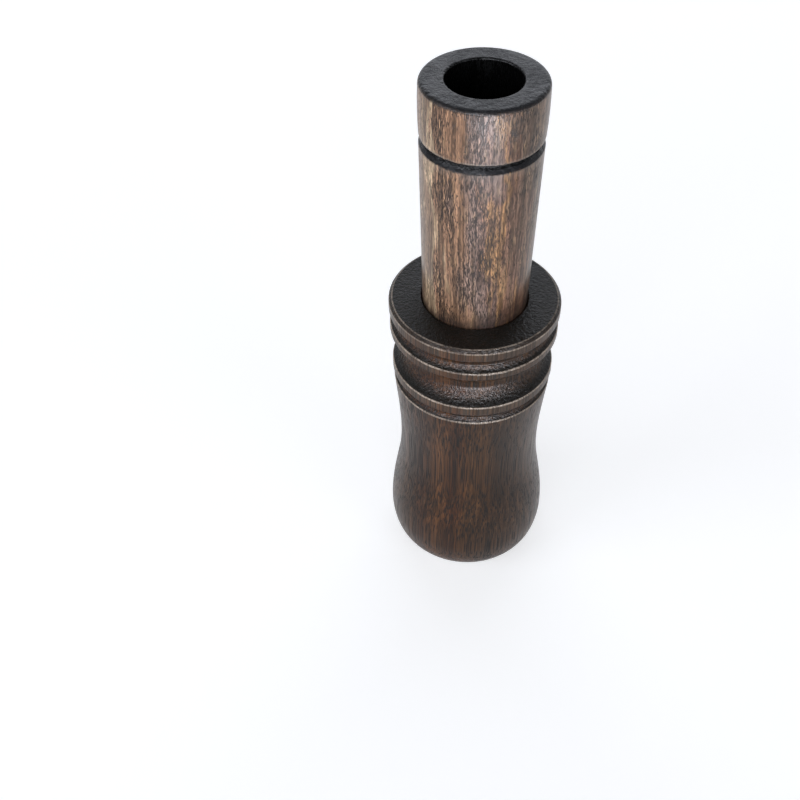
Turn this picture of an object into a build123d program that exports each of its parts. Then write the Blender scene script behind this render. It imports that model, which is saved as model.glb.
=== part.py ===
"""Wooden duck call, in the pieces that it comes apart into on a bench.

The call stands on its mouthpiece rim at Z = 0, with its axis along +Z and the exhaust end up.
The insert plugs into a socket in the barrel, held by two rubber rings, and carries the tone board.
The tone board hangs down the barrel's air bore with its reed bed facing -Y.
All sizes are in millimetres.
"""

import os
from math import sqrt

from build123d import *

# Barrel: heights above the mouthpiece rim, of the widest place and of where the bell runs into the waist
barrel_length = 71.0
bell_height = 8.8
waist_height = 25.5

# Barrel: turned diameters
lip_diameter = 26.6
bell_diameter = 36.0
waist_diameter = 31.9
shoulder_diameter = 34.1
lower_ring_diameter = 34.6
middle_ring_diameter = 35.6
end_ring_diameter = 36.0

# Barrel: growth of the radius per millimetre of height where the waist meets the shoulder
shoulder_flare = 0.11

# Barrel: widths of the rings and grooves, from the socket face down
end_ring_width = 2.9
end_groove_width = 3.4
middle_ring_width = 1.8
lanyard_cove_width = 8.3
lower_ring_width = 2.2
shoulder_groove_width = 2.4

# Barrel: depths of the grooves, bevel of the socket face and rounding of the turned edges
end_groove_depth = 1.3
lanyard_cove_depth = 2.9
shoulder_groove_depth = 0.8
face_bevel = 0.7
ring_round = 0.45

# Barrel: mouthpiece rim, dish and bores
rim_land = 0.8
dish_depth = 4.7
dish_hollow = 0.5
air_bore_diameter = 15.5
socket_depth = 16.0
socket_chamfer = 0.3

# Insert: turned outline
exposed_length = 49.5
tenon_diameter = 21.8
tenon_chamfer = 0.5
groove_lip_diameter = 23.7
exhaust_end_diameter = 24.0
head_length = 11.0
head_bulge = 0.15
insert_groove_width = 1.8
insert_groove_depth = 1.1
groove_undercut = 0.5
groove_round = 0.25
head_lip_round = 0.9
exhaust_round = 1.0

# Insert: exhaust bore, which a narrower bore for the tone board's plug meets from below
exhaust_bore_diameter = 14.4
bore_mouth_round = 0.5

# Rubber rings on the tenon, drawn as squeezed in the socket
seal_groove_width = 2.2
seal_groove_depth = 1.5
seal_inset = 4.0
seal_pitch = 6.5

# Tone board: plug, collar and half-round board
plug_length = 18.0
collar_length = 10.0
collar_ledge = 1.25
collar_web = 1.5
collar_wall = 1.2
board_step = 0.6
tip_setback = 5.3
nose_length = 9.0
nose_tip_diameter = 4.0
bed_offset = 1.0
bed_flat = 4.0
tip_fall = 1.6

# Tone channel: a taper from the plug's end to just short of the board's tip
channel_mouth_diameter = 9.0
channel_end_diameter = 3.8
channel_end_depth = 1.3
channel_tip_margin = 7.0

# Reeds and the wedge that clamps them
reed_side_gap = 0.9
reed_tip_round = 3.6
long_reed_thickness = 0.36
short_reed_thickness = 0.25
long_reed_margin = 1.0
short_reed_step = 2.0
reed_tail_gap = 0.3
wedge_overhang = 1.5
wedge_bevel = 0.6

# Clearances, all measured on the radius
tenon_clearance = 0.10
seal_clearance = 0.04
plug_clearance = 0.05
collar_clearance = 0.30
wedge_clearance = 0.05

# Barrel levels, from the socket face down
face_height = barrel_length
end_ring_low = face_height - end_ring_width
middle_ring_top = end_ring_low - end_groove_width
middle_ring_low = middle_ring_top - middle_ring_width
lower_ring_top = middle_ring_low - lanyard_cove_width
lower_ring_low = lower_ring_top - lower_ring_width
shoulder_height = lower_ring_low - shoulder_groove_width

# Barrel radii
lip_radius = lip_diameter / 2
rim_radius = lip_radius + rim_land
bell_radius = bell_diameter / 2
waist_radius = waist_diameter / 2
shoulder_radius = shoulder_diameter / 2
lower_ring_radius = lower_ring_diameter / 2
middle_ring_radius = middle_ring_diameter / 2
end_ring_radius = end_ring_diameter / 2
air_bore_radius = air_bore_diameter / 2
tenon_radius = tenon_diameter / 2
socket_radius = tenon_radius + tenon_clearance

# Insert levels
seat_height = face_height - socket_depth
exhaust_height = face_height + exposed_length
groove_top = exhaust_height - head_length
groove_floor = groove_top - groove_undercut
groove_bottom = groove_top - insert_groove_width
plug_top = seat_height + plug_length
seal_heights = {
    "lower_seal_ring": seat_height + seal_inset,
    "upper_seal_ring": seat_height + seal_inset + seal_pitch,
}

# Tone board levels and radii
collar_low = seat_height - collar_length
slot_top = seat_height - collar_web
board_tip = dish_depth + tip_setback
channel_end = board_tip + channel_tip_margin
collar_radius = air_bore_radius - collar_clearance
plug_bore_radius = collar_radius - collar_ledge
plug_radius = plug_bore_radius - plug_clearance
slot_radius = collar_radius - collar_wall
slot_half_width = sqrt(slot_radius**2 - bed_offset**2)
board_radius = collar_radius - board_step
bed_y = -bed_offset
tip_y = bed_y + tip_fall
channel_end_y = bed_y + channel_end_depth

os.makedirs("parts", exist_ok=True)


def cove(upper, lower, depth):
    """Hollow of a turned groove, as an arc from its lower lip to its upper lip."""
    floor = (min(upper[0], lower[0]) - depth, (upper[1] + lower[1]) / 2)
    return ThreePointArc(lower, floor, upper)


# Barrel
with BuildPart() as barrel:
    with BuildSketch(Plane.XZ) as turned:
        with BuildLine():
            Line((0, 0), (rim_radius, 0))
            EllipticalCenterArc(
                (rim_radius, bell_height),
                bell_radius - rim_radius,
                bell_height,
                start_angle=-90,
                arc_size=90,
            )
            Spline(
                (bell_radius, bell_height),
                (waist_radius, waist_height),
                (shoulder_radius, shoulder_height),
                tangents=((0, 1), (shoulder_flare, 1)),
            )
            cove(
                (lower_ring_radius, lower_ring_low),
                (shoulder_radius, shoulder_height),
                shoulder_groove_depth,
            )
            Line((lower_ring_radius, lower_ring_low), (lower_ring_radius, lower_ring_top))
            cove(
                (middle_ring_radius, middle_ring_low),
                (lower_ring_radius, lower_ring_top),
                lanyard_cove_depth,
            )
            Line((middle_ring_radius, middle_ring_low), (middle_ring_radius, middle_ring_top))
            cove(
                (end_ring_radius, end_ring_low),
                (middle_ring_radius, middle_ring_top),
                end_groove_depth,
            )
            Line((end_ring_radius, end_ring_low), (end_ring_radius, face_height))
            Line((end_ring_radius, face_height), (0, face_height))
            Line((0, face_height), (0, 0))
        make_face()
        ring_lips = turned.vertices().filter_by_position(Axis.Y, shoulder_height, end_ring_low)
        fillet(ring_lips, min(ring_round, middle_ring_width / 4))
        face_edge = turned.vertices().filter_by_position(Axis.X, end_ring_radius, end_ring_radius)
        chamfer(face_edge.sort_by(Axis.Y)[-1], face_bevel)
        bevel_corners = turned.vertices().filter_by_position(Axis.Y, face_height - face_bevel, face_height)
        fillet(bevel_corners.sort_by(Axis.X)[-2:], min(ring_round, face_bevel / 2))
    revolve(axis=Axis.Z)
    with Locations((0, 0, face_height)):
        CounterBoreHole(air_bore_radius, socket_radius, socket_depth)
    socket_mouth = barrel.faces().sort_by(Axis.Z)[-1].edges().sort_by(SortBy.RADIUS)[0]
    chamfer(socket_mouth, socket_chamfer)
    with BuildSketch(Plane.XZ) as dish:
        with BuildLine():
            Line((0, 0), (lip_radius, 0))
            SagittaArc((lip_radius, 0), (air_bore_radius, dish_depth), -dish_hollow)
            Line((air_bore_radius, dish_depth), (0, dish_depth))
            Line((0, dish_depth), (0, 0))
        make_face()
    revolve(axis=Axis.Z, mode=Mode.SUBTRACT)

barrel.part.label = "barrel"
export_step(barrel.part, "parts/barrel.step")

# Insert
with BuildPart() as insert:
    with BuildSketch(Plane.XZ) as turned:
        with BuildLine():
            Polyline(
                (0, seat_height),
                (tenon_radius, seat_height),
                (tenon_radius, face_height),
                (groove_lip_diameter / 2, groove_bottom),
                (groove_lip_diameter / 2 - insert_groove_depth, groove_floor),
                (groove_lip_diameter / 2, groove_top),
            )
            SagittaArc(
                (groove_lip_diameter / 2, groove_top),
                (exhaust_end_diameter / 2, exhaust_height),
                -head_bulge,
            )
            Polyline(
                (exhaust_end_diameter / 2, exhaust_height),
                (0, exhaust_height),
                (0, seat_height),
            )
        make_face()
        tenon_edge = turned.vertices().group_by(Axis.Y)[0].sort_by(Axis.X)[-1]
        chamfer(tenon_edge, tenon_chamfer)
        groove_corners = turned.vertices().filter_by_position(Axis.Y, groove_bottom, groove_floor)
        fillet(groove_corners, min(groove_round, insert_groove_width / 5))
        head_lip = turned.vertices().filter_by_position(Axis.Y, groove_top, groove_top)
        fillet(head_lip, min(head_lip_round, insert_groove_width / 2))
        exhaust_edge = turned.vertices().group_by(Axis.Y)[-1].sort_by(Axis.X)[-1]
        fillet(exhaust_edge, exhaust_round)
    revolve(axis=Axis.Z)
    with Locations((0, 0, exhaust_height)):
        Hole(exhaust_bore_diameter / 2, depth=exhaust_height - plug_top)
    with Locations(Plane.XY.offset(plug_top)):
        Hole(plug_bore_radius, depth=plug_length)
    bore_mouth = insert.faces().sort_by(Axis.Z)[-1].edges().sort_by(SortBy.RADIUS)[0]
    fillet(bore_mouth, bore_mouth_round)
    with BuildSketch(Plane.XZ) as seal_grooves:
        for height in seal_heights.values():
            with Locations((tenon_radius - seal_groove_depth / 2, height)):
                Rectangle(seal_groove_depth, seal_groove_width)
    revolve(axis=Axis.Z, mode=Mode.SUBTRACT)

insert.part.label = "insert"
export_step(insert.part, "parts/insert.step")

# Tone board
with BuildPart() as tone_board:
    with BuildSketch(Plane.XZ) as blank:
        with BuildLine():
            Line((0, board_tip), (nose_tip_diameter / 2, board_tip))
            EllipticalCenterArc(
                (nose_tip_diameter / 2, board_tip + nose_length),
                board_radius - nose_tip_diameter / 2,
                nose_length,
                start_angle=-90,
                arc_size=90,
            )
            Polyline(
                (board_radius, board_tip + nose_length),
                (board_radius, collar_low),
                (collar_radius, collar_low),
                (collar_radius, seat_height),
                (plug_radius, seat_height),
                (plug_radius, plug_top),
                (0, plug_top),
                (0, board_tip),
            )
        make_face()
    revolve(axis=Axis.Z)
    # The reed side is cut away to a flat bed that falls off towards the tip
    with BuildSketch(Plane.YZ) as reed_side:
        with BuildLine():
            Line((-collar_radius, collar_low), (bed_y, collar_low))
            Line((bed_y, collar_low), (bed_y, collar_low - bed_flat))
            TangentArc((bed_y, collar_low - bed_flat), (tip_y, board_tip), tangent=(0, -1))
            Line((tip_y, board_tip), (-collar_radius, board_tip))
            Line((-collar_radius, board_tip), (-collar_radius, collar_low))
        make_face()
    extrude(amount=collar_radius, both=True, mode=Mode.SUBTRACT)
    # A slot through the collar, arched like the bore, takes the reeds' tails and the wedge
    with BuildSketch(Plane.XY.offset(collar_low)) as slot:
        Circle(slot_radius)
        with Locations((0, bed_y + slot_radius)):
            Rectangle(2 * slot_radius, 2 * slot_radius, mode=Mode.SUBTRACT)
    extrude(amount=slot_top - collar_low, mode=Mode.SUBTRACT)
    with BuildSketch(Plane.XY.offset(channel_end)) as channel_foot:
        with Locations((0, channel_end_y)):
            Circle(channel_end_diameter / 2)
    with BuildSketch(Plane.XY.offset(plug_top)) as channel_mouth:
        Circle(channel_mouth_diameter / 2)
    loft(mode=Mode.SUBTRACT)

tone_board.part.label = "tone_board"
export_step(tone_board.part, "parts/tone_board.step")

# Reeds: two plastic strips, one on the other, on the bed
reed_width = 2 * (slot_half_width - reed_side_gap)
reed_tail = slot_top - reed_tail_gap
long_reed_tip = board_tip + long_reed_margin
short_reed_tip = long_reed_tip + short_reed_step
short_reed_offset = bed_offset + long_reed_thickness
wedge_offset = short_reed_offset + short_reed_thickness

with BuildPart() as long_reed:
    with BuildSketch(Plane.XZ.offset(bed_offset)) as strip:
        with Locations((0, long_reed_tip)):
            Rectangle(reed_width, reed_tail - long_reed_tip, align=(Align.CENTER, Align.MIN))
        fillet(strip.vertices().group_by(Axis.Y)[0], min(reed_tip_round, reed_width / 3))
    extrude(amount=long_reed_thickness)

long_reed.part.label = "long_reed"
export_step(long_reed.part, "parts/long_reed.step")

with BuildPart() as short_reed:
    with BuildSketch(Plane.XZ.offset(short_reed_offset)) as strip:
        with Locations((0, short_reed_tip)):
            Rectangle(reed_width, reed_tail - short_reed_tip, align=(Align.CENTER, Align.MIN))
        fillet(strip.vertices().group_by(Axis.Y)[0], min(reed_tip_round, reed_width / 3))
    extrude(amount=short_reed_thickness)

short_reed.part.label = "short_reed"
export_step(short_reed.part, "parts/short_reed.step")

# Wedge: a cork segment that fills the slot over the reeds and stands out below the collar
wedge_low = collar_low - wedge_overhang

with BuildPart() as reed_wedge:
    with BuildSketch(Plane.XY.offset(wedge_low)) as segment:
        Circle(slot_radius - wedge_clearance)
        with Locations((0, slot_radius - wedge_offset)):
            Rectangle(2 * slot_radius, 2 * slot_radius, mode=Mode.SUBTRACT)
    extrude(amount=reed_tail - wedge_low)
    front_arch = reed_wedge.faces().sort_by(Axis.Z)[0].edges().filter_by(GeomType.CIRCLE)
    chamfer(front_arch, wedge_bevel)

reed_wedge.part.label = "reed_wedge"
export_step(reed_wedge.part, "parts/reed_wedge.step")

# Rubber rings: oval in section, because the groove floor and the socket wall squeeze them
seal_depth = seal_groove_depth + tenon_clearance - 2 * seal_clearance
seal_radius = tenon_radius - seal_groove_depth + seal_clearance + seal_depth / 2

for ring_name, ring_height in seal_heights.items():
    with BuildPart() as seal_ring:
        with BuildSketch(Plane.XZ):
            with Locations((seal_radius, ring_height)):
                Ellipse(seal_depth / 2, seal_groove_width / 2 - seal_clearance)
        revolve(axis=Axis.Z)

    seal_ring.part.label = ring_name
    export_step(seal_ring.part, f"parts/{ring_name}.step")
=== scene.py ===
# %% [markdown]
# # Dressing a turned wooden duck call
#
# The call is two turned pieces of walnut: a barrel that the lips meet, and an insert that plugs into it
# and carries a plastic tone board, two reeds and a cork wedge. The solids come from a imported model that
# is already right in shape and size, so this lesson gives them their finishes, models the reeds again so
# that they can bend, and lights the call as the photograph does.

from math import pi, radians

import bmesh
import bpy
from mathutils import Matrix, Vector


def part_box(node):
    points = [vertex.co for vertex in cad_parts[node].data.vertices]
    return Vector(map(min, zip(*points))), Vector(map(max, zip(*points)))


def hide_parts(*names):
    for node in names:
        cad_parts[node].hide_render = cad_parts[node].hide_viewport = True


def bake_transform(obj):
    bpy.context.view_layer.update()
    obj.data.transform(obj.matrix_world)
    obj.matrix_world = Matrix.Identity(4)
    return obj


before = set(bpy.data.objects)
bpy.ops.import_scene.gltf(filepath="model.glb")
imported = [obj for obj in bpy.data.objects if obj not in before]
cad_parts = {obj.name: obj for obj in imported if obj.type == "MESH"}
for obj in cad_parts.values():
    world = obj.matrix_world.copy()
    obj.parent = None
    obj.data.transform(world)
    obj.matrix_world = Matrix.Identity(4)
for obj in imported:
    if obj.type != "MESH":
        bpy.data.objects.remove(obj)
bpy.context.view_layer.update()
MM = 0.001
for node_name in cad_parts:
    low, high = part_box(node_name)
    print(node_name, "measures", [round((h - l) / MM, 1) for l, h in zip(low, high)], "mm")

# %% [markdown]
# ## The camera
#
# The photograph looks down on the standing call from a little above its top. Blender's camera looks along
# its own -Z axis, so a camera that is level and faces +Y is turned 90 degrees about X. Three turns then
# give the photograph's view: the pitch down, the yaw about the vertical, and a small roll about the line
# of sight. The angles could be set by eye, but here they were measured on the outlines of the rings.

# %% Place the camera
IMAGE_SIDE = 800
FOCAL_LENGTH_PIXELS = 1144.9
SENSOR_WIDTH = 36.0
camera_place = Vector((0, -185.98, 222.31)) * MM
camera_pitch = radians(44.456)
camera_yaw = radians(4.904)
camera_roll = radians(0.847)

camera_data = bpy.data.cameras.new("photograph_camera")
camera_data.sensor_fit = "HORIZONTAL"
camera_data.sensor_width = SENSOR_WIDTH
camera_data.lens = FOCAL_LENGTH_PIXELS / IMAGE_SIDE * SENSOR_WIDTH
camera_data.clip_start = 10 * MM
camera_data.clip_end = 10
camera = bpy.data.objects.new("photograph_camera", camera_data)
camera.matrix_world = (
    Matrix.Translation(camera_place)
    @ Matrix.Rotation(camera_yaw, 4, "Z")
    @ Matrix.Rotation(radians(90) - camera_pitch, 4, "X")
    @ Matrix.Rotation(-camera_roll, 4, "Z")
)
bpy.context.scene.collection.objects.link(camera)
bpy.context.scene.camera = camera
print("lens", round(camera_data.lens, 2), "mm, camera at", [round(v / MM, 1) for v in camera_place], "mm")

# %% [markdown]
# ## Helpers for materials
#
# Colours are picked as sRGB hex values, as a colour picker shows them, but shaders mix light in linear
# values, so one function converts them. Another adds a node, sets its properties and fills its sockets
# with plain values or with links from other nodes. With it a material reads from top to bottom like a recipe.

# %% Define the helpers
def linear(hex_colour):
    """Linear RGBA of an sRGB colour such as "#7a5a40"."""
    shares = [int(hex_colour[i:i + 2], 16) / 255 for i in (1, 3, 5)]
    return [s / 12.92 if s <= 0.04045 else ((s + 0.055) / 1.055) ** 2.4 for s in shares] + [1.0]


def add(tree, kind, inputs, **settings):
    """Add a node, set its properties, and fill its sockets with values or links."""
    made = tree.nodes.new("ShaderNode" + kind)
    for name, value in settings.items():
        setattr(made, name, value)
    for socket, value in inputs.items():
        if isinstance(value, bpy.types.NodeSocket):
            tree.links.new(value, made.inputs[socket])
        else:
            made.inputs[socket].default_value = value
    return made


def new_material(name):
    """A material, its node tree and its shader."""
    material = bpy.data.materials.new(name)
    material.use_nodes = True
    return material, material.node_tree, material.node_tree.nodes["Principled BSDF"]


print("walnut brown in linear values:", [round(v, 3) for v in linear("#6b4c36")])

# %% [markdown]
# Every pattern on the call is a solid one: noise that fills the space the piece stands in, so that it has no
# seams and each surface cuts through it. It starts from Object coordinates, which stay with a piece when
# it moves, and they are turned into millimetres, so that a pattern's size can be read off a real piece.

# %% Define patterns in millimetres
def millimetres(tree):
    """The place on the piece, in millimetres."""
    place = add(tree, "TexCoord", {})
    inputs = {0: place.outputs["Object"], 1: (1 / MM,) * 3}
    return add(tree, "VectorMath", inputs, operation="MULTIPLY").outputs[0]


def pattern(tree, place, size, layers=0.0):
    """A solid pattern from 0 to 1 whose spots are about size long in X, Y and Z, with finer layers in it."""
    drawn = add(tree, "VectorMath", {0: place, 1: size}, operation="DIVIDE").outputs[0]
    inputs = {"Vector": drawn, "Scale": 1.0, "Detail": layers, "Roughness": 0.6}
    return add(tree, "TexNoise", inputs).outputs["Fac"]


print("one unit of a pattern is", MM, "m")

# %% [markdown]
# ## Walnut, turned and lacquered
#
# Wood is a solid with fibres along the tree's trunk, and on this call they run along the axis. A flat
# picture wrapped round it would show a seam and would stretch over the bell, so the grain is a solid
# pattern that each surface cuts through: long lines on the sides, dots on the ends.
#
# Each pattern is squeezed across the fibres and drawn out along them. Its two sizes say what it is: streaks
# are broad and long, fibres are hair-thin, pores are short dashes, and crinkles are the uneven skin of
# lacquer over raised fibres. The two pieces were cut from different boards, so each has its own sizes,
# tones and pith, the centre line of the tree, which lies far outside the piece.

# %% Measure the two boards
# Each pattern: width across and length along the fibres in millimetres, and the number of finer layers.
# Wander: length over which the fibres sway, and how far they do, in millimetres.
# Fray: how far streaks and patches push the years aside, in millimetres.
# Tones: the board's colours from the near side of the pith to the far side.
# Pore levels: how much of the noise is pore, in the plainest patches and in the most open ones.
# Fibre depths and line depth: how much lighter and darker they make the wood, in those patches too.
# Heights: how far each pattern stands up from the skin, or sinks into it, in millimetres.
# Edges: radius and height of the turned edges and coves that get a pale painted highlight, which stands for
# the lacquer's glints there and for stain worn off them, how far it reaches, all in millimetres, and how
# strong it is.
# Open year: share of the board's width where the pores are most open.
barrel_board = {
    "radius": 18.0,
    "pith": (-75.0, 10.0),
    "open_year": 0.4,
    "ior": 1.31,
    "patterns": {
        "streak": (1.2, 90.0, 2.0),
        "fibre": (0.34, 50.0, 1.0),
        "pore": (0.22, 14.0, 0.0),
        "flare": (0.7, 50.0, 1.0),
        "line": (0.9, 60.0, 0.0),
        "crinkle": (0.5, 0.7, 1.0),
        "leather": (0.6, 0.6, 2.0),
        "patch": (6.0, 30.0, 1.0),
    },
    "wander": ((70.0, 2.5), (24.0, 0.15)),
    "fray": {"streak": 6.0, "patch": 5.0},
    "tones": (
        (0.0, "#302114"), (0.2, "#402a19"), (0.34, "#371f10"), (0.45, "#4d301a"), (0.55, "#3c2110"),
        (0.66, "#4a301b"), (0.8, "#392618"), (1.0, "#402c1d"),
    ),
    "flare_tone": "#4d3725",
    "pore_tone": "#0b0705",
    "end_tone": "#151410",
    "glint_and_wear_tone": "#cab7a4",
    "pore_levels": (0.6, 0.52),
    "fibre_depths": (0.32, 0.54),
    "line_depth": 0.34,
    "heights": {"fibre": 0.035, "pore": -0.03, "crinkle": 0.015, "torn": 0.3},
    # Thin edge lines are a painted highlight with worn stain; the broad faint ones are a painted sheen
    "edges": (
        (17.3, 70.95, 0.22, 0.5), (17.87, 70.17, 0.28, 0.95), (17.67, 64.57, 0.28, 0.9),
        (17.17, 54.47, 0.28, 0.95), (16.92, 49.87, 0.28, 0.8), (18.0, 69.4, 1.8, 0.08),
        (17.8, 63.8, 1.5, 0.08), (17.3, 53.5, 1.5, 0.08), (15.4, 60.8, 3.0, 0.06),
    ),
}
insert_board = {
    "radius": 12.0,
    "pith": (-60.0, 4.0),
    "open_year": 0.55,
    "ior": 1.36,
    "patterns": {
        "streak": (0.9, 45.0, 3.0),
        "fibre": (0.28, 2.4, 1.0),
        "pore": (0.18, 1.2, 1.0),
        "flare": (0.9, 6.0, 1.0),
        "line": (0.4, 30.0, 0.0),
        "crinkle": (0.5, 0.7, 1.0),
        "leather": (1.2, 1.2, 2.0),
        "patch": (4.0, 14.0, 1.0),
    },
    "wander": ((50.0, 2.0), (1.4, 0.35)),
    "fray": {"streak": 6.0, "patch": 14.0},
    "tones": (
        (0.0, "#766150"), (0.14, "#7f6652"), (0.21, "#b59c7e"), (0.28, "#886750"), (0.4, "#8f6d54"),
        (0.5, "#7e6556"), (0.6, "#856f64"), (0.69, "#7c6052"), (0.75, "#a17953"), (0.82, "#7c5c4a"),
        (1.0, "#695546"),
    ),
    "flare_tone": "#9c805f",
    "pore_tone": "#20150f",
    "end_tone": "#15181b",
    "glint_and_wear_tone": "#a39384",
    "pore_levels": (0.63, 0.45),
    "fibre_depths": (0.3, 0.85),
    "line_depth": 0.48,
    "heights": {"fibre": 0.015, "pore": -0.02, "crinkle": 0.02, "torn": 0.26},
    # These lines at the groove's lips are a painted highlight with worn stain
    "edges": ((11.78, 107.45, 0.3, 0.35), (11.8, 107.0, 1.0, 0.2), (11.87, 109.93, 0.3, 0.65)),
}
print("barrel fibres are", barrel_board["patterns"]["fibre"][:2], "mm, insert fibres",
      insert_board["patterns"]["fibre"][:2], "mm")

# %% [markdown]
# The distance from the pith gives the year that a fibre grew in, and so its tone. The way that the surface
# faces tells side grain from end grain: the more it looks along the axis, the more fibres are cut through.
# The radius and the height give a place on the turned outline, for marks that go all the way round.

# %% Define the grain
# Noise seldom leaves this span, so a pattern's levels are spread over it
NOISE_SPAN = {"From Min": 0.35, "From Max": 0.65}
# Distance from the open year at which pores are closed and open, as shares of the board's width, and
# how much that shifts the patches
OPEN_ZONE = {"From Min": 0.35, "From Max": 0.05, "To Min": -0.1, "To Max": 0.1}
# How far a surface leans towards the axis, from 0 to 1, where the first and the last fibres are cut
CUT_FIBRES = {"end": (0.45, 0.85), "torn": (0.12, 0.4)}


def grain(tree, board):
    """Sockets of a solid wood grain, from 0 to 1, and of the outline's radius and height in millimetres."""
    place = millimetres(tree)
    along = place
    for length, width in board["wander"]:
        sway = add(tree, "TexNoise", {"Vector": place, "Scale": 1 / length, "Detail": 0.0})
        inputs = {0: sway.outputs["Color"], 1: (width, width, 0), 2: along}
        along = add(tree, "VectorMath", inputs, operation="MULTIPLY_ADD").outputs[0]
    wood = {}
    for name, (across, length, layers) in board["patterns"].items():
        wood[name] = pattern(tree, along, (across, across, length), layers)

    pith = Vector((*board["pith"], 0))
    inputs = {0: along, 1: (1, 1, 0), 2: -pith}
    from_pith = add(tree, "VectorMath", inputs, operation="MULTIPLY_ADD").outputs[0]
    reach = add(tree, "VectorMath", {0: from_pith}, operation="LENGTH").outputs["Value"]
    first_year = pith.length - board["radius"]
    for name, push in board["fray"].items():
        inputs = {0: wood[name], 1: push, 2: reach}
        reach = add(tree, "Math", inputs, operation="MULTIPLY_ADD").outputs[0]
        first_year += push / 2
    inputs = {"Value": reach, "From Min": first_year, "From Max": first_year + 2 * board["radius"]}
    wood["year"] = add(tree, "MapRange", inputs).outputs[0]

    from_open = add(tree, "Math", {0: wood["year"], 1: board["open_year"]}, operation="SUBTRACT").outputs[0]
    apart = add(tree, "Math", {0: from_open}, operation="ABSOLUTE").outputs[0]
    zone = add(tree, "MapRange", {"Value": apart, **OPEN_ZONE}).outputs[0]
    wood["open"] = add(tree, "Math", {0: wood["patch"], 1: zone}, operation="ADD").outputs[0]

    normal = add(tree, "TexCoord", {}).outputs["Normal"]
    facing = add(tree, "SeparateXYZ", {0: normal}).outputs["Z"]
    lengthwise = add(tree, "Math", {0: facing}, operation="ABSOLUTE").outputs[0]
    for name, (start, end) in CUT_FIBRES.items():
        inputs = {"Value": lengthwise, "From Min": start, "From Max": end}
        wood[name] = add(tree, "MapRange", inputs, interpolation_type="SMOOTHSTEP").outputs[0]

    wood["height"] = add(tree, "SeparateXYZ", {0: place}).outputs["Z"]
    flat = add(tree, "VectorMath", {0: place, 1: (1, 1, 0)}, operation="MULTIPLY").outputs[0]
    wood["radius"] = add(tree, "VectorMath", {0: flat}, operation="LENGTH").outputs["Value"]
    return wood


print("end grain shows where a surface leans from", *CUT_FIBRES["end"], "of the way to the axis")

# %% [markdown]
# The edges of the rings get a pale painted highlight: it stands for the glints of the lacquer there, and for
# stain that hands and pockets have worn off. Broad faint bands of it on the ring fronts and in the cove are a
# painted sheen. The distance from an edge, measured on the turned outline, makes the mask.
#
# The groove of the insert was burnt in with a wire held against the spinning wood, and the exhaust end is
# scorched too; its rounded outer edge is painted dark for both the scorch and the dark reflection that the
# rounding shows. That mask is a band about the groove, the outer edge of the end, and the bore, and the
# groove's floor is painted darker still as shade. Where the insert meets the barrel, painted shade darkens
# the wood between the two parts.

# %% Define the rubbed edges and the scorching
# Painted highlight and wear on the edges: how many times farther its faded rim reaches than its core, the
# span of noise that breaks it up, and how much is left of it in the hollows of the fibres and of the patches
GLINT_AND_WEAR_FADE = 3
GLINT_AND_WEAR_SPAN = {"From Min": 0.35, "From Max": 0.55}
LEAST_GLINT_AND_WEAR = {"fibre": 0.3, "patch": 0.5}
# Burns: heights and widths in millimetres, and how dark the exhaust's rim is painted for scorch and dark
# reflection, 0 to 1
GROOVE_BAND = (107.45, 109.9)
GROOVE_FLOOR = (108.25, 108.6)
EXHAUST_HEIGHT = 120.5
EXHAUST_BURN = 0.9
EXHAUST_SCORCH_AND_DARK_REFLECTION = 0.85
BORE_RADIUS = 7.2
BORE_MARGIN = 0.1
BURN_FADE = 0.4
BURN_FRAY = 0.8
# Painted shade where the insert meets the barrel: least and greatest reach from the barrel's face in
# millimetres, how its rim fades, and its depth
BARREL_FACE = 71.0
JOINT_SHADE_REACH = {"To Min": 1.0, "To Max": 8.0}
JOINT_SHADE_FADE = {"From Min": 1.5, "From Max": 0.5, "To Max": 0.75}
# Tones of the painted shade at the joint, the scorched wood with the exhaust's rim painted dark, the groove's
# charred floor painted darker as shade, and the tarred bore, and how much rougher each is than the lacquer
SHADE_AND_BURNS = (("#1d1511", 0.05), ("#1b1b1d", 0.0), ("#040404", -0.1), ("#060606", -0.14))


def glint_and_wear(tree, wood, edges):
    """How strong the pale painted highlight and the worn stain are, from 0 to 1."""
    on_outline = add(tree, "CombineXYZ", {"X": wood["radius"], "Y": wood["height"]}).outputs[0]
    glint_and_wear_mask = 0.0
    for radius, height, reach, share in edges:
        inputs = {0: on_outline, 1: (radius, height, 0)}
        away = add(tree, "VectorMath", inputs, operation="DISTANCE").outputs["Value"]
        inputs = {"Value": away, "From Min": reach, "From Max": reach / GLINT_AND_WEAR_FADE, "To Max": share}
        near = add(tree, "MapRange", inputs, interpolation_type="SMOOTHSTEP").outputs[0]
        glint_and_wear_mask = add(tree, "Math", {0: near, 1: glint_and_wear_mask}, operation="MAXIMUM").outputs[0]
    for name, least in LEAST_GLINT_AND_WEAR.items():
        inputs = {"Value": wood[name], **GLINT_AND_WEAR_SPAN, "To Min": least}
        uneven = add(tree, "MapRange", inputs).outputs[0]
        glint_and_wear_mask = add(tree, "Math", {0: glint_and_wear_mask, 1: uneven}, operation="MULTIPLY").outputs[0]
    return glint_and_wear_mask


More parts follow.
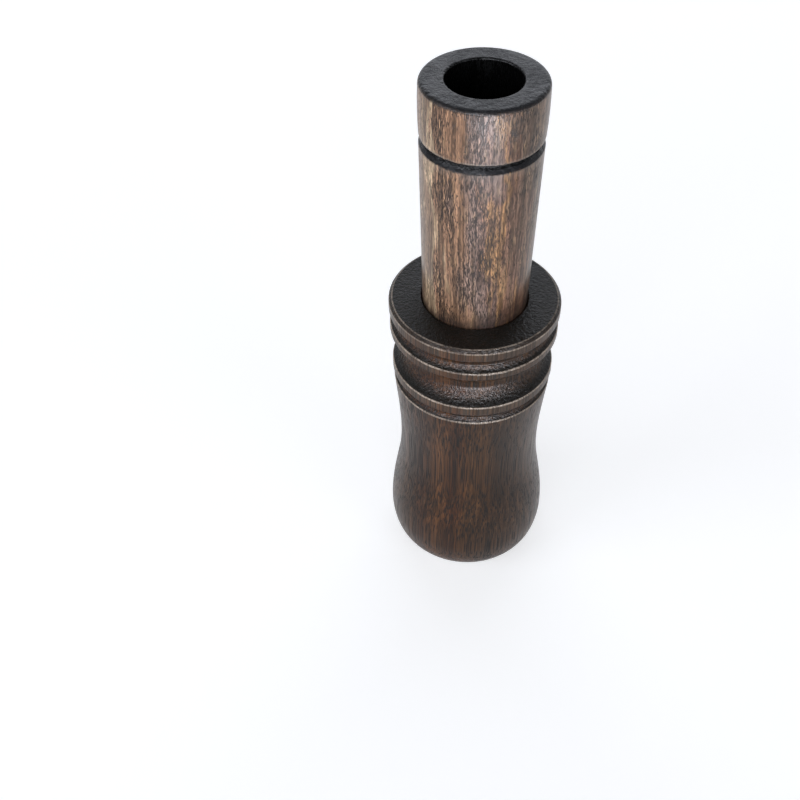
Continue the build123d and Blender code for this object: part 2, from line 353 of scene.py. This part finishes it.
def shaded_and_scorched(tree, wood):
    """Where the insert has painted shade at the joint, scorch with a painted dark rim, a charred groove floor
    painted darker as shade, and a tarred bore, from 0 to 1.
    """
    low, high = GROOVE_BAND
    inputs = {0: wood["crinkle"], 1: BURN_FRAY, 2: wood["height"]}
    frayed = add(tree, "Math", inputs, operation="MULTIPLY_ADD").outputs[0]
    middle = (low + high + BURN_FRAY) / 2
    from_middle = add(tree, "Math", {0: frayed, 1: middle}, operation="SUBTRACT").outputs[0]
    away = add(tree, "Math", {0: from_middle}, operation="ABSOLUTE").outputs[0]
    reach = (high - low) / 2
    inputs = {"Value": away, "From Min": reach, "From Max": reach - BURN_FADE}
    band = add(tree, "MapRange", inputs).outputs[0]
    # The exhaust's rounded rim is painted dark: scorch, and the dark reflection that the rounding shows
    start = EXHAUST_HEIGHT - EXHAUST_BURN
    inputs = {"Value": wood["height"], "From Min": start, "From Max": start + BURN_FADE}
    edge = add(tree, "MapRange", {**inputs, "To Max": EXHAUST_SCORCH_AND_DARK_REFLECTION}).outputs[0]
    start = BORE_RADIUS + BORE_MARGIN
    inputs = {"Value": wood["radius"], "From Min": start + BURN_FADE, "From Max": start}
    inside = add(tree, "MapRange", inputs).outputs[0]
    # The groove's floor is painted darker as shade, over the charred wood
    start, end = GROOVE_FLOOR
    inputs = {"Value": wood["height"], "From Min": start, "From Max": end}
    deep = add(tree, "MapRange", inputs).outputs[0]
    charred_and_shaded = add(tree, "Math", {0: deep, 1: band}, operation="MULTIPLY").outputs[0]
    scorch_and_dark_rim = add(tree, "Math", {0: band, 1: edge}, operation="MAXIMUM").outputs[0]
    # Painted shade where the insert meets the barrel, strongest at the barrel's face
    inputs = {0: wood["height"], 1: BARREL_FACE}
    climb = add(tree, "Math", inputs, operation="SUBTRACT").outputs[0]
    spread = add(tree, "Math", {0: climb}, operation="ABSOLUTE").outputs[0]
    reach = add(tree, "MapRange", {"Value": wood["year"], **JOINT_SHADE_REACH}).outputs[0]
    share = add(tree, "Math", {0: spread, 1: reach}, operation="DIVIDE").outputs[0]
    uneven_shade = add(tree, "Math", {0: wood["leather"], 1: share}, operation="ADD").outputs[0]
    inputs = {"Value": uneven_shade, **JOINT_SHADE_FADE}
    joint_shade = add(tree, "MapRange", inputs, interpolation_type="SMOOTHSTEP").outputs[0]
    return joint_shade, scorch_and_dark_rim, charred_and_shaded, inside


print("scorched from", *GROOVE_BAND, "mm, and above", EXHAUST_HEIGHT - EXHAUST_BURN, "mm")

# %% [markdown]
# The colour is laid down as the eye reads wood: first the year's tone with a few paler flares, then the
# fibres that make it lighter and darker, then the dark pores, and then the end grain, which drinks stain
# until it is nearly black. The skin has the same patterns as heights in millimetres, so that what looks like
# a pore is a pore to the light too. Where the turning tool cut across the fibres, in the coves and on the
# ends, they tore, and the lacquer is leathery there.

# %% Define the walnut and dress both turned pieces
# Spans of noise that make a flare, a light or dark fibre and a pore, and how strong flares and pores get
FLARE_SPAN = {"From Min": 0.56, "From Max": 0.76, "To Max": 0.45}
SHADE_SPAN = {"From Min": 0.33, "From Max": 0.67, "To Min": -1.0}
PORE_SPAN = {"From Min": 0.0, "From Max": 0.08, "To Max": 0.85}
# How much stain the end grain drinks, in the hollows and on the bumps of torn wood
STAIN_SHARES = {"To Min": 0.98, "To Max": 0.86}
# Roughness of satin lacquer, and how pores, end grain and the painted highlight of worn edges differ from it
SATIN = 0.3
PORE_CHANGE = 0.2
END_CHANGE = 0.04
GLINT_AND_WEAR_CHANGE = -0.1


def walnut(name, board, burnt_and_shaded=None):
    """Satin-lacquered walnut. The optional function gives the masks of burnt wood and of painted shade."""
    # Thin lacquer over open pores: a soft sheen along the fibres, and sparkles where they are torn
    material, tree, shader = new_material(name)
    wood = grain(tree, board)

    tones = add(tree, "ValToRGB", {0: wood["year"]})
    stops = tones.color_ramp.elements
    for count, (share, tone) in enumerate(board["tones"]):
        stop = stops[count] if count < 2 else stops.new(share)
        stop.position = share
        stop.color = linear(tone)
    flare = add(tree, "MapRange", {"Value": wood["flare"], **FLARE_SPAN}).outputs[0]
    inputs = {0: flare, 6: tones.outputs[0], 7: linear(board["flare_tone"])}
    colour = add(tree, "Mix", inputs, data_type="RGBA").outputs[2]
    plainest, most_open = board["fibre_depths"]
    inputs = {"Value": wood["open"], **NOISE_SPAN, "To Min": plainest, "To Max": most_open}
    fibre_depth = add(tree, "MapRange", inputs).outputs[0]
    for mark, depth in (("fibre", fibre_depth), ("line", board["line_depth"])):
        sway = add(tree, "MapRange", {"Value": wood[mark], **SHADE_SPAN}).outputs[0]
        shade = add(tree, "Math", {0: sway, 1: depth, 2: 1.0}, operation="MULTIPLY_ADD").outputs[0]
        colour = add(tree, "VectorMath", {0: colour, "Scale": shade}, operation="SCALE").outputs[0]

    plainest, most_open = board["pore_levels"]
    inputs = {"Value": wood["open"], **NOISE_SPAN, "To Min": plainest, "To Max": most_open}
    level = add(tree, "MapRange", inputs).outputs[0]
    above = add(tree, "Math", {0: wood["pore"], 1: level}, operation="SUBTRACT").outputs[0]
    pore = add(tree, "MapRange", {"Value": above, **PORE_SPAN}).outputs[0]
    glint_and_wear_mask = glint_and_wear(tree, wood, board["edges"])
    stained = add(tree, "MapRange", {"Value": wood["leather"], **NOISE_SPAN, **STAIN_SHARES}).outputs[0]
    soaked = add(tree, "Math", {0: wood["end"], 1: stained}, operation="MULTIPLY").outputs[0]
    # Each layer: its mask, its tone, and how much rougher it is than the lacquered side grain
    layers = [(pore, board["pore_tone"], PORE_CHANGE), (soaked, board["end_tone"], END_CHANGE)]
    # The burns bring painted shade at the joint and in the groove's floor, and a painted dark exhaust rim
    if burnt_and_shaded:
        layers += [(mask, *burn_and_shade) for mask, burn_and_shade in zip(burnt_and_shaded(tree, wood), SHADE_AND_BURNS)]
    # The pale edge layer is a painted highlight, with worn stain
    layers.append((glint_and_wear_mask, board["glint_and_wear_tone"], GLINT_AND_WEAR_CHANGE))
    rough = SATIN
    for mask, tone, change in layers:
        inputs = {0: mask, 6: colour, 7: linear(tone)}
        colour = add(tree, "Mix", inputs, data_type="RGBA").outputs[2]
        inputs = {0: mask, 1: change, 2: rough}
        rough = add(tree, "Math", inputs, operation="MULTIPLY_ADD").outputs[0]
    tree.links.new(colour, shader.inputs["Base Color"])
    tree.links.new(rough, shader.inputs["Roughness"])

    heights = board["heights"]
    torn = add(tree, "Math", {0: wood["leather"], 1: wood["torn"]}, operation="MULTIPLY").outputs[0]
    skin = add(tree, "Math", {0: torn, 1: heights["torn"]}, operation="MULTIPLY").outputs[0]
    for source, height in (
        (wood["crinkle"], heights["crinkle"]), (wood["fibre"], heights["fibre"]), (pore, heights["pore"])
    ):
        skin = add(tree, "Math", {0: source, 1: height, 2: skin}, operation="MULTIPLY_ADD").outputs[0]
    bump = add(tree, "Bump", {"Height": skin, "Strength": 1.0, "Distance": MM})
    tree.links.new(bump.outputs[0], shader.inputs["Normal"])
    shader.inputs["IOR"].default_value = board["ior"]
    return material


turned_finishes = {
    "barrel": walnut("dark_walnut_lacquered", barrel_board),
    "insert": walnut("pale_walnut_lacquered", insert_board, burnt_and_shaded=shaded_and_scorched),
}
for node_name, material in turned_finishes.items():
    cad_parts[node_name].data.materials[0] = material
    print(node_name, "is", material.name)

# %% [markdown]
# ## The tone board, of black ABS
#
# The tone board is moulded, and its mould was spark-eroded, which leaves a fine even grain that kills the
# shine. The real grain is a few hundredths of a millimetre across. It is drawn at 0.15 mm, the finest that
# still shows when the insert is pulled out and seen close.

# %% Dress the tone board
# Sizes of the spark-eroded grain and of the moulding's flow, and depth of the grain, in millimetres
SPARK_GRAIN = (0.15, 0.15, 0.15)
MOULD_FLOW = (3.0, 3.0, 12.0)
SPARK_DEPTH = 0.012
abs_plastic, abs_tree, abs_shader = new_material("black_abs_spark_eroded")
# Moulded ABS: a deep black with a grey, broken sheen
abs_place = millimetres(abs_tree)
spark = pattern(abs_tree, abs_place, SPARK_GRAIN, 1.0)
flow = pattern(abs_tree, abs_place, MOULD_FLOW)
inputs = {0: flow, 6: linear("#0b0b0c"), 7: linear("#141415")}
abs_colour = add(abs_tree, "Mix", inputs, data_type="RGBA").outputs[2]
abs_tree.links.new(abs_colour, abs_shader.inputs["Base Color"])
abs_rough = add(abs_tree, "MapRange", {"Value": spark, "To Min": 0.34, "To Max": 0.5}).outputs[0]
abs_tree.links.new(abs_rough, abs_shader.inputs["Roughness"])
inputs = {"Height": spark, "Strength": 1.0, "Distance": SPARK_DEPTH * MM}
abs_skin = add(abs_tree, "Bump", inputs).outputs[0]
abs_tree.links.new(abs_skin, abs_shader.inputs["Normal"])
abs_shader.inputs["IOR"].default_value = 1.53
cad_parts["tone_board"].data.materials[0] = abs_plastic
print("tone board is", abs_plastic.name)

# %% [markdown]
# ## The wedge, of cork
#
# Cork is bark: soft round cells in yellow-brown patches of a millimetre or two, with dark pits where the bark
# breathed. A mix of two patterns of those sizes gives both, and the pits sink into the skin.

# %% Dress the wedge
# Sizes of the cork's patches and pits, and depth of its skin, in millimetres
CORK_PATCH = (1.4, 1.4, 1.4)
CORK_PIT = (0.5, 0.5, 1.2)
CORK_DEPTH = 0.1
cork, cork_tree, cork_shader = new_material("natural_cork")
# Cut cork: dry and matt, so it shows its patches and no sheen
cork_place = millimetres(cork_tree)
cells = pattern(cork_tree, cork_place, CORK_PATCH, 3.0)
pits = pattern(cork_tree, cork_place, CORK_PIT, 1.0)
inputs = {"Value": cells, "From Min": 0.3, "From Max": 0.7}
cork_share = add(cork_tree, "MapRange", inputs).outputs[0]
inputs = {0: cork_share, 6: linear("#9a6f45"), 7: linear("#c79c69")}
cork_colour = add(cork_tree, "Mix", inputs, data_type="RGBA").outputs[2]
pitted = add(cork_tree, "MapRange", {"Value": pits, "From Min": 0.6, "From Max": 0.7}).outputs[0]
inputs = {0: pitted, 6: cork_colour, 7: linear("#4a2f1c")}
cork_colour = add(cork_tree, "Mix", inputs, data_type="RGBA").outputs[2]
cork_tree.links.new(cork_colour, cork_shader.inputs["Base Color"])
inputs = {0: pitted, 1: -0.12, 2: cells}
cork_height = add(cork_tree, "Math", inputs, operation="MULTIPLY_ADD").outputs[0]
inputs = {"Height": cork_height, "Strength": 1.0, "Distance": CORK_DEPTH * MM}
cork_skin = add(cork_tree, "Bump", inputs).outputs[0]
cork_tree.links.new(cork_skin, cork_shader.inputs["Normal"])
cork_shader.inputs["Roughness"].default_value = 0.85
cork_shader.inputs["IOR"].default_value = 1.4
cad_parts["reed_wedge"].data.materials[0] = cork
print("reed wedge is", cork.name)

# %% [markdown]
# ## The seal rings, of nitrile rubber
#
# The rings are moulded from nitrile rubber and greased a little, so that the insert slides in. Rubber is
# nearly black, with a soft sheen that wear breaks up in patches.

# %% Dress the seal rings
# Size of the smears of grease, in millimetres
GREASE_SMEAR = (1.2, 1.2, 0.5)
rubber, rubber_tree, rubber_shader = new_material("nitrile_rubber")
# Greased rubber: a dull black with a smeared sheen
rubber_place = millimetres(rubber_tree)
smear = pattern(rubber_tree, rubber_place, GREASE_SMEAR, 2.0)
inputs = {0: smear, 6: linear("#0c0c0d"), 7: linear("#1a1a1b")}
rubber_colour = add(rubber_tree, "Mix", inputs, data_type="RGBA").outputs[2]
rubber_tree.links.new(rubber_colour, rubber_shader.inputs["Base Color"])
rubber_rough = add(rubber_tree, "MapRange", {"Value": smear, "To Min": 0.4, "To Max": 0.7}).outputs[0]
rubber_tree.links.new(rubber_rough, rubber_shader.inputs["Roughness"])
rubber_shader.inputs["IOR"].default_value = 1.52
for node_name in ("lower_seal_ring", "upper_seal_ring"):
    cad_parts[node_name].data.materials[0] = rubber
    print(node_name, "is", rubber.name)

# %% [markdown]
# ## The reeds, of polyester film
#
# The reeds are two strips cut from milky polyester film, with round tips. When the call is blown they bend
# towards the board, while the wedge holds their tails still. The solids could only tip over as stiff plates,
# so the strips are modelled again with cuts across them, along which they could bend.
#
# A strip starts as one square face, scaled to the reed and stood upright. Bevelling the two lowest corners
# rounds the tip, planes cut it across, and an extrusion gives it the film's thickness.

# %% Model the reeds
TIP_ROUND = 3.6 * MM
TIP_SEGMENTS = 10
BEND_CUTS = 24
CUT_SNAP = 0.001 * MM
# Size of the lines that drawing leaves in the film, in millimetres
FILM_LINE = (0.3, 0.3, 30.0)
film, film_tree, film_shader = new_material("milky_polyester_film")
# Drawn film: milky, with a soft satin sheen and faint lines along the way that it was drawn
film_place = millimetres(film_tree)
drawn_lines = pattern(film_tree, film_place, FILM_LINE, 1.0)
inputs = {0: drawn_lines, 6: linear("#c9cdc8"), 7: linear("#d6d9d3")}
film_colour = add(film_tree, "Mix", inputs, data_type="RGBA").outputs[2]
film_tree.links.new(film_colour, film_shader.inputs["Base Color"])
film_rough = add(film_tree, "MapRange", {"Value": drawn_lines, "To Min": 0.48, "To Max": 0.58}).outputs[0]
film_tree.links.new(film_rough, film_shader.inputs["Roughness"])
film_shader.inputs["IOR"].default_value = 1.6

for node_name in ("long_reed", "short_reed"):
    low, high = (Vector(corner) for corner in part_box(node_name))
    size = high - low
    bm = bmesh.new()
    bmesh.ops.create_grid(bm, x_segments=1, y_segments=1, size=0.5)
    bmesh.ops.scale(bm, vec=(size.x, size.z, 1), verts=bm.verts)
    bmesh.ops.rotate(bm, cent=(0, 0, 0), matrix=Matrix.Rotation(radians(90), 3, "X"), verts=bm.verts)
    bmesh.ops.translate(bm, vec=((low.x + high.x) / 2, high.y, (low.z + high.z) / 2), verts=bm.verts)
    tip = [vert for vert in bm.verts if vert.co.z < low.z + size.z / 2]
    bmesh.ops.bevel(
        bm, geom=tip, offset=TIP_ROUND, affect="VERTICES", segments=TIP_SEGMENTS, profile=0.5, material=-1
    )
    for count in range(1, BEND_CUTS):
        cut = (0, 0, low.z + size.z * count / BEND_CUTS)
        everything = bm.verts[:] + bm.edges[:] + bm.faces[:]
        bmesh.ops.bisect_plane(bm, geom=everything, dist=CUT_SNAP, plane_co=cut, plane_no=(0, 0, 1))
    walls = bmesh.ops.extrude_face_region(bm, geom=bm.faces[:])["geom"]
    front = [part for part in walls if isinstance(part, bmesh.types.BMVert)]
    bmesh.ops.translate(bm, vec=(0, -size.y, 0), verts=front)
    bmesh.ops.recalc_face_normals(bm, faces=bm.faces)
    closed = all(edge.is_manifold for edge in bm.edges)
    mesh = bpy.data.meshes.new(node_name + "_film")
    bm.to_mesh(mesh)
    bm.free()
    mesh.materials.append(film)
    reed = bpy.data.objects.new(node_name + "_film", mesh)
    bpy.context.scene.collection.objects.link(reed)
    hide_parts(node_name)
    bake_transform(reed)
    print(reed.name, "closed" if closed else "open", [round(v / MM, 2) for v in size], "mm")

# %% [markdown]
# ## The floor and the light
#
# The photograph is a product picture on white. A large round sheet of paper stands in for the table, wide
# enough to fill the view, and keeps the call's soft shadow. It is white to the camera, and to lacquer that
# mirrors it, by a glow of its own that lights nothing else, so that the lamps can stay at a plain level.

# %% Lay the floor
FLOOR_RADIUS = 1.6
FLOOR_SEGMENTS = 128
FLOOR_GLOW = 0.57
floor_mesh = bpy.data.meshes.new("floor")
floor_bm = bmesh.new()
bmesh.ops.create_circle(floor_bm, cap_ends=True, radius=FLOOR_RADIUS, segments=FLOOR_SEGMENTS)
floor_bm.to_mesh(floor_mesh)
floor_bm.free()
floor = bpy.data.objects.new("floor", floor_mesh)
bpy.context.scene.collection.objects.link(floor)
paper, paper_tree, paper_shader = new_material("white_paper")
# Matt paper: an even white on which only the shadow shows
paper_shader.inputs["Base Color"].default_value = linear("#d8d8d8")
paper_shader.inputs["Roughness"].default_value = 0.9
paper_shader.inputs["Emission Color"].default_value = linear("#ffffff")
ray = add(paper_tree, "LightPath", {})
seen = ray.outputs["Is Camera Ray"]
for kind in ("Is Glossy Ray", "Is Transmission Ray"):
    inputs = {0: seen, 1: ray.outputs[kind]}
    seen = add(paper_tree, "Math", inputs, operation="ADD", use_clamp=True).outputs[0]
glow = add(paper_tree, "Math", {0: seen, 1: FLOOR_GLOW}, operation="MULTIPLY")
paper_tree.links.new(glow.outputs[0], paper_shader.inputs["Emission Strength"])
floor_mesh.materials.append(paper)
print("floor", 2 * FLOOR_RADIUS, "m across")

# %% [markdown]
# The light is a dim room with a band of pale wall round the horizon and three windows. The front one and
# the left one model the round forms, and the right one holds the shadow side. A white wall behind is mirrored
# by the two end faces. Two lamps are only mirrored in the lacquer: a long strip that draws glints along the
# turned edges and into the coves, and a small card below the lens that puts a sheen on the insert's head.

# %% Light the scene
# Brightness of the wall and of the haze at the horizon, by the climb from 0, level, to 1, straight up
WALL_FADE = {"From Min": 0.12, "From Max": 0.45, "To Min": 0.5, "To Max": 0.12}
HAZE_FADE = {"From Min": 0.0, "From Max": 0.15, "To Min": 0.5, "To Max": 0.0}
world = bpy.data.worlds.new("dim_room")
bpy.context.scene.world = world
world.use_nodes = True
sky = world.node_tree
background = sky.nodes["Background"]
direction = add(sky, "TexCoord", {}).outputs["Generated"]
climb = add(sky, "SeparateXYZ", {0: direction}).outputs["Z"]
inputs = {"Value": climb, **WALL_FADE}
wall = add(sky, "MapRange", inputs, interpolation_type="SMOOTHSTEP").outputs[0]
inputs = {"Value": climb, **HAZE_FADE}
haze = add(sky, "MapRange", inputs, interpolation_type="SMOOTHSTEP").outputs[0]
strength = add(sky, "Math", {0: wall, 1: haze}, operation="ADD").outputs[0]
sky.links.new(strength, background.inputs["Strength"])
background.inputs["Color"].default_value = linear("#f4f8ff")

# Name, the height that it is aimed at in millimetres, azimuth to the right of the camera and elevation in
# degrees, width, height and distance in metres, brightness, where 1 is white paper in this light, and
# whether it lights the wood itself or is only mirrored in the lacquer
lamps = (
    ("left_window", 60, -62, 26, 1.0, 0.9, 1.6, 3.0, True),
    ("front_window", 60, -10, 20, 1.3, 1.1, 1.5, 2.35, True),
    ("right_window", 60, 50, 22, 0.7, 0.8, 1.5, 1.7, True),
    ("back_wall", 60, 180, 30, 1.8, 0.75, 1.3, 2.0, True),
    ("front_strip", 60, -4, 18, 1.1, 0.8, 1.4, 6.5, False),
    ("front_card", 118, 14, -19, 0.09, 0.055, 0.115, 16.0, False),
)
for name, aim, azimuth, elevation, width, height, distance, brightness, lights_wood in lamps:
    lamp_data = bpy.data.lights.new(name, "AREA")
    lamp_data.shape = "RECTANGLE"
    lamp_data.size = width
    lamp_data.size_y = height
    lamp_data.energy = brightness * pi * width * height
    lamp_data.color = linear("#f2f6ff")[:3]
    lamp = bpy.data.objects.new(name, lamp_data)
    turn = Matrix.Rotation(radians(azimuth), 4, "Z") @ Matrix.Rotation(radians(90 - elevation), 4, "X")
    lamp.matrix_world = Matrix.Translation((0, 0, aim * MM)) @ turn @ Matrix.Translation((0, 0, distance))
    lamp.visible_camera = False
    lamp.visible_diffuse = lights_wood
    bpy.context.scene.collection.objects.link(lamp)
    print(name, "at", [round(v, 2) for v in lamp.matrix_world.translation])

bpy.context.scene.view_settings.view_transform = "Standard"
